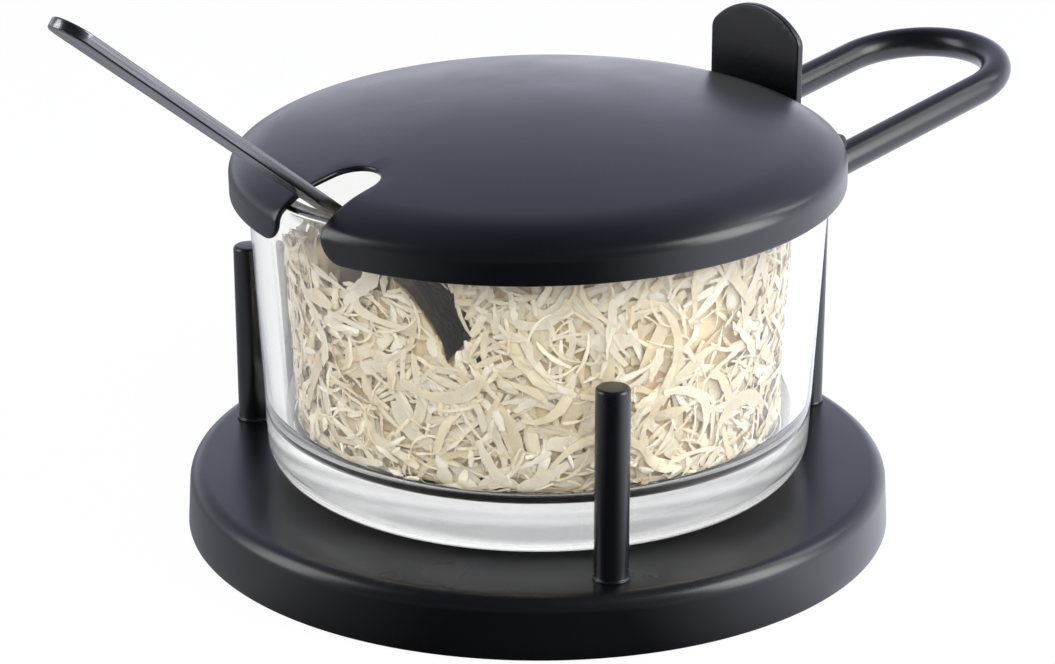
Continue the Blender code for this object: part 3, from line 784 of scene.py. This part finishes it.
def bowl_glass(finish):
    """Pressed glass bowl; its walls are very slightly uneven, as pressed glass is."""
    lip = GLASS_WALL / 2
    heel = (wall_radius(GLASS_BOTTOM + GLASS_HEEL) - GLASS_HEEL, GLASS_BOTTOM + GLASS_HEEL)
    inner_level = GLASS_FLOOR + GLASS_INNER_HEEL
    inner = (inner_radius(inner_level) - GLASS_INNER_HEEL, inner_level)
    top = GLASS_TOP - lip
    levels = [inner_level + (top - inner_level) * i / GLASS_LEVELS for i in range(1, GLASS_LEVELS)]
    profile = [(ring, GLASS_FLOOR) for ring in GLASS_RINGS]
    profile += arc(inner, GLASS_INNER_HEEL, -pi / 2, 0, 14)
    profile += [(inner_radius(z), z) for z in levels]
    profile += arc((RIM_RADIUS - lip, top), lip, pi, 0, 14)
    profile += [(wall_radius(z), z) for z in reversed(levels)]
    profile += arc(heel, GLASS_HEEL, 0, -pi / 2, 16)
    profile += [(PUNT_RADIUS, GLASS_BOTTOM)]
    for i in range(1, PUNT_STEPS + 1):
        rise = PUNT_DEPTH * (1 - cos(pi * i / PUNT_STEPS)) / 2
        profile.append((PUNT_RADIUS - PUNT_EDGE * i / PUNT_STEPS, GLASS_BOTTOM + rise))
    profile += [(20.0, GLASS_BOTTOM + PUNT_DEPTH), (0, GLASS_BOTTOM + PUNT_DEPTH)]
    made = lathe("bowl_glass", profile, GLASS_STEPS, finish)
    for vertex in made.data.vertices:
        place = vertex.co / MM
        flat = Vector((place.x, place.y))
        if flat.length > RIPPLE_RADIUS and place.z > GLASS_BOTTOM + RIPPLE_RISE:
            cell = Vector(p / size for p, size in zip(place, RIPPLE_SIZE))
            shift = RIPPLE_DEPTH * (noise.noise(cell) - 0.5)
            flat *= 1 + shift / flat.length
            vertex.co = Vector((flat.x, flat.y, place.z)) * MM
    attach(made, "stand")
    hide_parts("glass_bowl")


def spoon_half_width(along):
    """Half width of the spoon at a distance from its tip; the bowl runs softly into the neck."""
    middle = SPOON_BOWL_LENGTH / 2
    bowl = SPOON_BOWL_WIDTH / 2 * sqrt(max(0.0, 1 - ((along - middle) / middle) ** 2))
    share = max(0.0, along - SPOON_BOWL_LENGTH) / (SPOON_LENGTH - SPOON_BOWL_LENGTH)
    handle = (SPOON_NECK_WIDTH + (SPOON_END_WIDTH - SPOON_NECK_WIDTH) * share) / 2
    handle *= min(1.0, max(0.0, (along - middle) / middle))
    from_end = along - (SPOON_LENGTH - SPOON_END_WIDTH / 2)
    if from_end > 0:
        handle = sqrt(max(0.0, (SPOON_END_WIDTH / 2) ** 2 - from_end**2))
    return (bowl**4 + handle**4) ** 0.25


def spoon_height(along, across):
    """Middle of the spoon's sheet: the hollow of its bowl and the rise of its neck."""
    middle = SPOON_BOWL_LENGTH / 2
    past_neck = (along - middle) / SPOON_NECK_LENGTH - 0.5
    share = min(1.0, max(0.0, past_neck))
    drop = SPOON_NECK_DROP * (1 - share * share * (3 - 2 * share))
    inside = 1 - ((along - middle) / middle) ** 2 - (across / (SPOON_BOWL_WIDTH / 2)) ** 2
    hollow = SPOON_BOWL_DEPTH * (inside + sqrt(inside**2 + SPOON_RIM_BLEND)) / 2
    return -drop - hollow


def spoon_bend(u, v):
    """Upper face of the spoon at a point of its flat pattern."""
    step = 0.05
    slope_u = (spoon_height(u + step, v) - spoon_height(u - step, v)) / (2 * step)
    slope_v = (spoon_height(u, v + step) - spoon_height(u, v - step)) / (2 * step)
    normal = Vector((-slope_u, -slope_v, 1.0)).normalized()
    return Vector((u, v, spoon_height(u, v))) + normal * (SPOON_SHEET / 2), normal


SPOON_MATRIX = (place_mm(*SPOON_PLACE) @ Matrix.Rotation(pi, 4, "Z")
                @ Matrix.Rotation(-SPOON_TILT, 4, "Y"))


def serving_spoon(finish):
    """Pressed steel spoon with rounded edges."""
    middle = SPOON_BOWL_LENGTH / 2
    end = SPOON_END_WIDTH / 2
    handle_end = SPOON_LENGTH - end
    stations = [middle * (1 - cos(pi * i / SPOON_BOWL_STEPS)) for i in range(1, SPOON_BOWL_STEPS)]
    shank = int((handle_end - SPOON_BOWL_LENGTH) / SPOON_SHANK_STEP)
    stations += [SPOON_BOWL_LENGTH + (handle_end - SPOON_BOWL_LENGTH) * i / shank for i in range(shank)]
    stations += [handle_end + end * sin(pi / 2 * i / SPOON_END_STEPS) for i in range(SPOON_END_STEPS)]
    right = [(s, -spoon_half_width(s)) for s in stations]
    left = [(s, spoon_half_width(s)) for s in reversed(stations)]
    loop = [(0.0, 0.0)] + right + [(SPOON_LENGTH, 0.0)] + left
    grid = [(u, v) for u in np.arange(0.5, 36.0, 0.75) for v in np.arange(-10.5, 10.6, 0.75)]
    grid += [(u, v) for u in np.arange(36.0, SPOON_LENGTH, 1.2) for v in np.arange(-4.0, 4.1, 1.0)]
    made = pressed_sheet("serving_spoon", loop, grid, 0.3, spoon_bend, SPOON_SHEET, SPOON_EDGE, finish,
                         SPOON_MATRIX)
    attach(made, "spoon")
    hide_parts("spoon")


# Grated cheese, a filling that shows the pot in use

CHEESE_SEED = 41
CHEESE_EDGE = radians(70.0)
SHRED_STEPS = 8
SHRED_CORNERS = 4
SHRED_TILT = 0.3
SHRED_RAGGED = (0.7, 1.2)
SHRED_TONES = (0.45, 1.0)
WALL_SHREDS = 950
FINE_SHREDS = 900
PATCH_SHREDS = 260
PATCH_TURN = (-0.34, 0.12)
PATCH_LOW = 38.0
TOP_SHREDS = 260
TOP_REACH = 45.0
TOP_DEPTH = 2.5
INNER_SHREDS = 160
INNER_REACH = 42.0
INNER_FOOT = GLASS_FLOOR + 2.0
CRUMBS = 320
CRUMB_DEPTH = 1.5
CRUMB_FOOT = GLASS_FLOOR + 0.4
CRUMB_RISE = 10.0
COVER_SHREDS = 210
WALL_ROOM = 0.6
FLOOR_ROOM = 0.25
HEAP_LEVEL = 66.0
HEAP_LIMIT = 68.0
HEAP_REACH = 44.0
HEAP_FOOT = GLASS_FLOOR + 0.5
HEAP_FAR_FALL = 0.42
HEAP_FAR_START = -22.0
HEAP_RIGHT_RISE = 0.2
HEAP_LEFT_FALL = 0.2
HEAP_LEFT_START = 30.0
HEAP_LUMP = 1.5
HEAP_LUMP_SIZE = 12.0
NEAR_TURN = atan2(-AHEAD.y, -AHEAD.x)
NEAR_SPREAD = 1.75
ALL_ROUND_SHARE = 0.45
LEFT_GAP = (pi - CAMERA_TURN, 2.6, 0.5)
RIGHT_GAP = (-CAMERA_TURN, 2.2, 0.45)

# Room for the spoon in its own directions, and the stretch of its handle that stays in sight
TO_SPOON = SPOON_MATRIX.inverted()
SPOON_ROOM = 1.0
BOWL_PATH = (-12.5, -3.0)
HANDLE_PATH = (-7.0, 2.5)
HANDLE_PATH_HALF = 4.6
SIGHT_ALONG = (27.0, 75.0)
SIGHT_HALF = 2.6

# Packed lumps around the spoon: the middle of each, its limits across the spoon and to the camera's right
LUMPS = (
    ((-8.0, 28.0, 36.0), (5.0, 60.0), (-60.0, 60.0)),
    ((10.0, -28.0, 42.0), (-60.0, -5.0), (-10.0, 60.0)),
    ((-34.0, -8.0, 36.0), (-60.0, 4.6), (-60.0, -10.6)),
    ((32.0, 0.0, 34.0), (-4.8, 4.8), (-60.0, 60.0)),
)
LUMP_RINGS = 72
LUMP_STEPS = 144
LUMP_STRIDES = (3.0, 1.0, 0.3)
LUMP_COVER = 1.6
LUMP_ROUGH = 1.0
LUMP_GRAIN = 2.8
# Low tone of the lumps: painted shade deep in the heap; the spread and size below vary it at random
LUMP_SHADE_TONE = 0.2
LUMP_TONE_SPREAD = 0.4
LUMP_TONE_SIZE = 7.0

# Length, width, thickness, curl and sideways bend per millimetre of each kind of piece
SHRED = ((8.0, 25.0), (0.9, 3.4), (0.2, 0.36), 0.10, 0.12)
FINE = ((4.0, 12.0), (0.4, 0.9), (0.25, 0.4), 0.2, 0.2)
SHORT = ((3.0, 8.0), (0.6, 1.9), (0.2, 0.36), 0.15, 0.15)
CRUMB = ((1.2, 4.0), (0.6, 1.6), (0.4, 0.8), 0.2, 0.2)


def heap_radius(turn, level):
    """How far the cheese reaches at a turn about the axis; it stays off the wall at two sides."""
    reach = inner_radius(level) - WALL_ROOM
    for middle, depth, width in (LEFT_GAP, RIGHT_GAP):
        away = (turn - middle + pi) % (2 * pi) - pi
        reach -= depth * exp(-((away / width) ** 2))
    return reach


def heap_top(x, y):
    """Upper surface of the heap: high on the near side and the right, low at the far side and the left."""
    ahead = x * AHEAD.x + y * AHEAD.y
    right = x * RIGHT.x + y * RIGHT.y
    top = HEAP_LEVEL - HEAP_FAR_FALL * max(0.0, ahead - HEAP_FAR_START) + HEAP_RIGHT_RISE * max(0.0, right)
    top -= HEAP_LEFT_FALL * max(0.0, -right - HEAP_LEFT_START)
    return min(top, HEAP_LIMIT) + HEAP_LUMP * noise.noise(Vector((x, y, 0.0)) / HEAP_LUMP_SIZE)


def in_spoon_path(point):
    """Whether a point lies where the spoon moves, or hides its handle from the near side."""
    along, across, up = (TO_SPOON @ (point * MM)) / MM
    middle = SPOON_BOWL_LENGTH / 2
    nearest = min(max(along, middle), middle + SPOON_LIFT)
    swept = 1 - ((along - nearest) / (middle + SPOON_ROOM)) ** 2
    half = (SPOON_BOWL_WIDTH / 2 + SPOON_ROOM) * sqrt(max(0.0, swept))
    if abs(across) < half and BOWL_PATH[0] < up < BOWL_PATH[1]:
        return True
    if along > middle and abs(across) < HANDLE_PATH_HALF and HANDLE_PATH[0] < up < HANDLE_PATH[1]:
        return True
    if point.y >= 0:
        return False
    along, _, up = (TO_SPOON @ ((point - SIGHT * (point.y / SIGHT.y)) * MM)) / MM
    return SIGHT_ALONG[0] < along < SIGHT_ALONG[1] and abs(up - spoon_height(along, 0.0)) < SIGHT_HALF


def shred_frame(rng, face, lean):
    """A direction in the plane that faces a normal, and the shred's own normal, tilted by up to lean."""
    side = face.cross(UP if abs(face.z) < 0.9 else RIGHT).normalized()
    other = face.cross(side)
    turn = rng.uniform(0, 2 * pi)
    tangent = side * cos(turn) + other * sin(turn)
    tangent = (tangent + face * rng.uniform(-SHRED_TILT, SHRED_TILT)).normalized()
    flat = (face - tangent * face.dot(tangent)).normalized()
    return tangent, Matrix.Rotation(rng.uniform(-lean, lean), 3, tangent) @ flat


def shred_corners(rng, kind, middle, face, lean):
    """Four corners at each step along one curled, bent and tapered shred."""
    lengths, widths, thicknesses, most_curl, most_bend = kind
    tangent, normal = shred_frame(rng, face, lean)
    length = rng.uniform(*lengths)
    half_width = rng.uniform(*widths) / 2
    half_thickness = rng.uniform(*thicknesses) / 2
    curl = rng.uniform(-most_curl, most_curl)
    sideways = rng.uniform(-most_bend, most_bend)
    change = rng.uniform(-1.5, 1.5) * most_bend
    step = length / SHRED_STEPS
    point = middle - tangent * (length / 2)
    corners = []
    for i in range(SHRED_STEPS + 1):
        share = i / SHRED_STEPS
        across = tangent.cross(normal)
        taper = 0.3 + 0.7 * sin(pi * min(max(share, 0.05), 0.95)) ** 0.5
        out = across * (half_width * taper * rng.uniform(*SHRED_RAGGED))
        rise = normal * (half_thickness * taper)
        corners += [point - out, point - rise, point + out, point + rise]
        point = point + tangent * step
        turn = Matrix.Rotation(curl * step, 3, across)
        turn = turn @ Matrix.Rotation((sideways + change * (share - 0.5)) * step, 3, normal)
        tangent = (turn @ tangent).normalized()
        normal = (turn @ normal).normalized()
    return corners


def keep_in_bowl(point, cover=0.0):
    """Press a point back into the heap where it would stick out or lie less than its cover from the wall."""
    level = min(max(point.z, GLASS_FLOOR + FLOOR_ROOM), heap_top(point.x, point.y))
    flat = Vector((point.x, point.y))
    reach = heap_radius(atan2(flat.y, flat.x), level) - cover
    if flat.length > reach:
        flat *= reach / flat.length
    return Vector((flat.x, flat.y, level))


def in_lump(point, across, to_right):
    """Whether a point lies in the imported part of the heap, within the limits of one lump."""
    if not across[0] < point.y < across[1] or not to_right[0] < point.dot(RIGHT) < to_right[1]:
        return False
    if not HEAP_FOOT <= point.z <= heap_top(point.x, point.y) - LUMP_COVER or in_spoon_path(point):
        return False
    return hypot(point.x, point.y) < heap_radius(atan2(point.y, point.x), point.z) - LUMP_COVER


def lump_reach(middle, way, across, to_right):
    """How far a lump swells from its middle before something stops it."""
    reach = 0.0
    for stride in LUMP_STRIDES:
        while in_lump(middle + way * (reach + stride), across, to_right):
            reach += stride
    return reach


class Heap:
    """Collects the vertices, faces and tones of the cheese, with painted shade as the lumps' low tones."""

    def __init__(self):
        self.vertices = []
        self.faces = []
        self.tones_and_shade = []

    def add(self, rng, kind, middle, face, lean, cover=0.0):
        """Add one piece unless it would stand in the spoon's way."""
        corners = [keep_in_bowl(c, cover) for c in shred_corners(rng, kind, middle, face, lean)]
        tone_and_shade = rng.uniform(*SHRED_TONES)
        if not any(in_spoon_path(c) for c in corners):
            self.faces += skin(len(self.vertices), SHRED_STEPS + 1, SHRED_CORNERS)
            self.vertices += corners
            self.tones_and_shade += [tone_and_shade] * len(corners)

    def add_lump(self, middle, across, to_right):
        """Add a packed lump, as a ball that swells from its middle until it is stopped."""
        middle = Vector(middle)
        self.faces += skin(len(self.vertices), LUMP_RINGS - 1, LUMP_STEPS)
        for i in range(1, LUMP_RINGS):
            fall = pi * i / LUMP_RINGS
            out = sin(fall)
            for k in range(LUMP_STEPS):
                turn = 2 * pi * k / LUMP_STEPS
                way = Vector((out * cos(turn), out * sin(turn), cos(fall)))
                point = middle + way * lump_reach(middle, way, across, to_right)
                point -= way * (LUMP_ROUGH * (1 + noise.fractal(point / LUMP_GRAIN, 0.8, 2.0, 4)))
                self.vertices.append(point)
                # Each lump point gets a low tone, painted shade, varied at random
                self.tones_and_shade.append(LUMP_SHADE_TONE + LUMP_TONE_SPREAD * noise.noise(point / LUMP_TONE_SIZE))

    def add_by_wall(self, rng, count, kind, place, deepest, lean):
        """Add pieces of one kind by the wall, each at its own depth."""
        for _ in range(count):
            depth = deepest * rng.random()
            self.add(rng, kind, *place(rng, depth), lean, depth)

    def make_piece(self, name, finish):
        """Turn what was collected into one piece of the filling."""
        made = solid(name, self.vertices, self.faces, finish)
        made.data.set_sharp_from_angle(angle=CHEESE_EDGE)
        tone_and_shade = made.data.attributes.new("tone_and_shade", "FLOAT", "POINT")
        tone_and_shade.data.foreach_set("value", self.tones_and_shade)
        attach(made, "stand")


def wall_point(rng, turn, low, depth):
    """A random place above a level, at a turn about the axis and a depth from the wall, and the way out."""
    top = heap_top(HEAP_REACH * cos(turn), HEAP_REACH * sin(turn))
    level = rng.uniform(low, top)
    out = Vector((cos(turn), sin(turn), 0.0))
    return out * (heap_radius(turn, level) - depth) + UP * level, out


def wall_place(rng, depth):
    """A random place by the wall, more often on the near side."""
    turn = NEAR_TURN + rng.uniform(-1.0, 1.0) * (pi if rng.random() < ALL_ROUND_SHARE else NEAR_SPREAD)
    return wall_point(rng, turn, HEAP_FOOT, depth)


def patch_place(rng, depth):
    """A random place by the wall beside the spoon's handle, where long shreds find no room."""
    return wall_point(rng, NEAR_TURN + rng.gauss(*PATCH_TURN), PATCH_LOW, depth)


def any_way(rng):
    """A random direction."""
    return Vector((rng.gauss(0, 1), rng.gauss(0, 1), rng.gauss(0, 1))).normalized()


def disc_place(rng, radius):
    """A random place in a disc about the axis, and the heap's level there."""
    turn = rng.uniform(-pi, pi)
    reach = radius * sqrt(rng.random())
    x, y = reach * cos(turn), reach * sin(turn)
    return x, y, heap_top(x, y)


def inner_place(rng):
    """A random place inside the heap."""
    x, y, top = disc_place(rng, INNER_REACH)
    return Vector((x, y, rng.uniform(INNER_FOOT, top)))


def top_place(rng):
    """A random place on the upper surface of the heap."""
    x, y, top = disc_place(rng, TOP_REACH)
    return Vector((x, y, top - rng.uniform(0.0, TOP_DEPTH)))


def cheese_lumps(finish):
    """Packed lumps that carry the shreds, coloured darker as painted shade deep in the heap."""
    heap = Heap()
    for lump in LUMPS:
        heap.add_lump(*lump)
    heap.make_piece("cheese_lumps", finish)


def cheese_shreds(finish):
    """Shreds in and around the lumps and crumbs near the floor."""
    rng = random.Random(CHEESE_SEED)
    heap = Heap()
    for _ in range(INNER_SHREDS):
        heap.add(rng, SHRED, inner_place(rng), any_way(rng), lean=1.5)
    heap.add_by_wall(rng, WALL_SHREDS, SHRED, wall_place, deepest=1.8, lean=0.9)
    heap.add_by_wall(rng, FINE_SHREDS, FINE, wall_place, deepest=1.5, lean=1.0)
    heap.add_by_wall(rng, PATCH_SHREDS, SHORT, patch_place, deepest=1.2, lean=0.6)
    for _ in range(TOP_SHREDS):
        heap.add(rng, SHRED, top_place(rng), UP, lean=0.6)
    for _ in range(CRUMBS):
        place, out = wall_place(rng, CRUMB_DEPTH)
        place.z = CRUMB_FOOT + CRUMB_RISE * rng.random() ** 2
        heap.add(rng, CRUMB, place, out, lean=1.5)
    heap.add_by_wall(rng, COVER_SHREDS, SHORT, wall_place, deepest=0.8, lean=0.9)
    heap.make_piece("cheese_shreds", finish)


# Studio

WHITE = 1.02
MOST_BOUNCES = 24
CLEAR_BOUNCES = 16
FLOOR_REACH = 8000.0
FLOOR_SHARE = 0.94
FLOOR_MIRRORED = (0.92, 0.94, 1.06, 1.0)

# What reflections see: greys of the floor from the camera's left to its middle, the sky from below to above
FLOOR_GREYS = ((0.0, 0.42), (0.10, 0.46), (0.20, 0.34), (0.36, 0.42), (0.5, 1.4))
SKY = (
    (0.0, (1.25, 1.27, 1.42)),
    (0.10, (1.12, 1.14, 1.32)),
    (0.20, (0.90, 0.93, 1.14)),
    (0.35, (0.55, 0.58, 0.75)),
    (0.55, (0.48, 0.50, 0.67)),
    (0.75, (0.50, 0.52, 0.69)),
    (1.0, (0.11, 0.115, 0.15)),
)
SKY_BRIGHT_WAY = (AHEAD + RIGHT * 0.4).normalized()

# Softboxes: place to the right, ahead and up, width, height, watts and whether the pot mirrors it
SOFTBOXES = {
    "softbox_right": ((620.0, -180.0, 330.0), 380.0, 520.0, 3.2, True),
    "softbox_left": ((-640.0, -40.0, 300.0), 360.0, 520.0, 1.7, True),
    "softbox_back": ((560.0, 200.0, 500.0), 80.0, 420.0, 0.5, True),
    "softbox_front": ((60.0, -600.0, 420.0), 500.0, 400.0, 3.4, False),
}
LAMP_AIM = Vector((0.0, 0.0, 45.0))


def backdrop(tree, mirrored, strength):
    """Colour and strength of a backdrop: white to the camera and through glass, mirrored in reflections."""
    path = add_node(tree, "ShaderNodeLightPath").outputs
    seen = join(tree, path["Is Camera Ray"], path["Is Transmission Ray"], "MAXIMUM")
    values = {"Factor": seen, "A": mirrored, "B": (1.0, 1.0, 1.0, 1.0)}
    mix = add_node(tree, "ShaderNodeMix", values, data_type="RGBA")
    colour = next(socket for socket in mix.outputs if socket.type == "RGBA")
    through = join(tree, path["Is Transmission Ray"], strength, "MAXIMUM")
    values = {"Factor": path["Is Camera Ray"], "A": through, "B": WHITE}
    return path, seen, colour, add_node(tree, "ShaderNodeMix", values).outputs["Result"]


def studio_floor():
    """Pale floor that keeps the pot's shadow; reflections see it dim in front and to the left."""
    made, tree, shader = new_material("floor", Roughness=0.9)
    place = add_node(tree, "ShaderNodeTexCoord").outputs["Object"]
    colour = tint(tree, speckle(tree, place, 90.0), (0.3, (0.91, 0.91, 0.91)), (0.7, (0.94, 0.94, 0.94)))
    tree.links.new(colour, shader.inputs["Base Color"])
    way = add_node(tree, "ShaderNodeVectorMath", {0: place}, operation="NORMALIZE").outputs["Vector"]
    across = spread(tree, reach_along(tree, way, RIGHT), 0.0, 1.0, -1.0, 1.0)
    side = tint(tree, across, *[(position, (grey,) * 3) for position, grey in FLOOR_GREYS])
    front = spread(tree, reach_along(tree, way, -AHEAD), 1.0, 0.02, 0.55, 0.95)
    path, seen, shade, strength = backdrop(tree, FLOOR_MIRRORED, join(tree, side, front, "MULTIPLY"))
    share = join(tree, join(tree, seen, FLOOR_SHARE, "MULTIPLY"), path["Is Glossy Ray"], "MAXIMUM")
    white = add_node(tree, "ShaderNodeEmission", {"Color": shade, "Strength": strength})
    mix_shaders(tree, share, shader.outputs["BSDF"], white.outputs["Emission"])
    corners = [Vector(c) * FLOOR_REACH for c in ((-1, -1, 0), (1, -1, 0), (1, 1, 0), (-1, 1, 0))]
    floor = solid("floor", corners, [(0, 1, 2, 3)], made)


def studio_world():
    """Pale at the horizon, dimmer above and on the camera's side; white where the eye looks past the pot."""
    world = bpy.data.worlds.new("studio")
    world.use_nodes = True
    tree = world.node_tree
    way = add_node(tree, "ShaderNodeTexCoord").outputs["Generated"]
    height = add_node(tree, "ShaderNodeSeparateXYZ", {"Vector": way}).outputs["Z"]
    far = spread(tree, reach_along(tree, way, SKY_BRIGHT_WAY), 0.10, 1.1, -0.6, 0.9)
    _, _, colour, strength = backdrop(tree, tint(tree, height, *SKY), far)
    background = tree.nodes["Background"]
    tree.links.new(colour, background.inputs["Color"])
    tree.links.new(strength, background.inputs["Strength"])
    bpy.context.scene.world = world


def studio_lamps():
    """Soft lamps to both sides, a narrow one behind and a fill light by the camera."""
    for name, ((right, ahead, up), width, height, watts, mirrored) in SOFTBOXES.items():
        lamp = bpy.data.lights.new(name, "AREA")
        lamp.shape = "RECTANGLE"
        lamp.size = width * MM
        lamp.size_y = height * MM
        lamp.energy = watts
        made = add_object(name, lamp)
        place = RIGHT * right + AHEAD * ahead + UP * up
        made.location = place * MM
        made.rotation_euler = (LAMP_AIM - place).to_track_quat("-Z", "Y").to_euler()
        made.visible_camera = False
        made.visible_transmission = False
        made.visible_glossy = mirrored


def studio_camera():
    """Camera at the photograph's angle."""
    camera = bpy.data.cameras.new("camera")
    camera.lens = CAMERA_LENS
    camera.sensor_width = CAMERA_SENSOR
    camera.clip_start = 0.01
    camera.clip_end = 50.0
    made = add_object("camera", camera)
    top = AHEAD * sin(CAMERA_PITCH) + UP * cos(CAMERA_PITCH)
    aim = RIGHT * CAMERA_AIM[0] + top * CAMERA_AIM[1] + UP * BASE_BOTTOM
    made.matrix_world = Matrix((RIGHT, top, -SIGHT)).transposed().to_4x4()
    made.location = (aim - SIGHT * CAMERA_DISTANCE) * MM
    bpy.context.scene.camera = made


coat = black_coat()
stand_pan(coat)
cover_disc(black_plastic())
grip_pad(pad_rubber())
posts(coat)
handle_wire(coat)
pin_bar(coat)
fasteners(zinc_steel())
lid_pressing(coat)
thumb_tab(coat)
bowl_glass(clear_glass())
serving_spoon(dark_steel())
grated = cheese()
cheese_lumps(grated)
cheese_shreds(grated)
studio_floor()
studio_world()
studio_lamps()
studio_camera()
bpy.context.scene.view_settings.view_transform = "Standard"
bpy.context.scene.cycles.max_bounces = MOST_BOUNCES
bpy.context.scene.cycles.glossy_bounces = CLEAR_BOUNCES
bpy.context.scene.cycles.transmission_bounces = CLEAR_BOUNCES

bpy.context.view_layer.update()
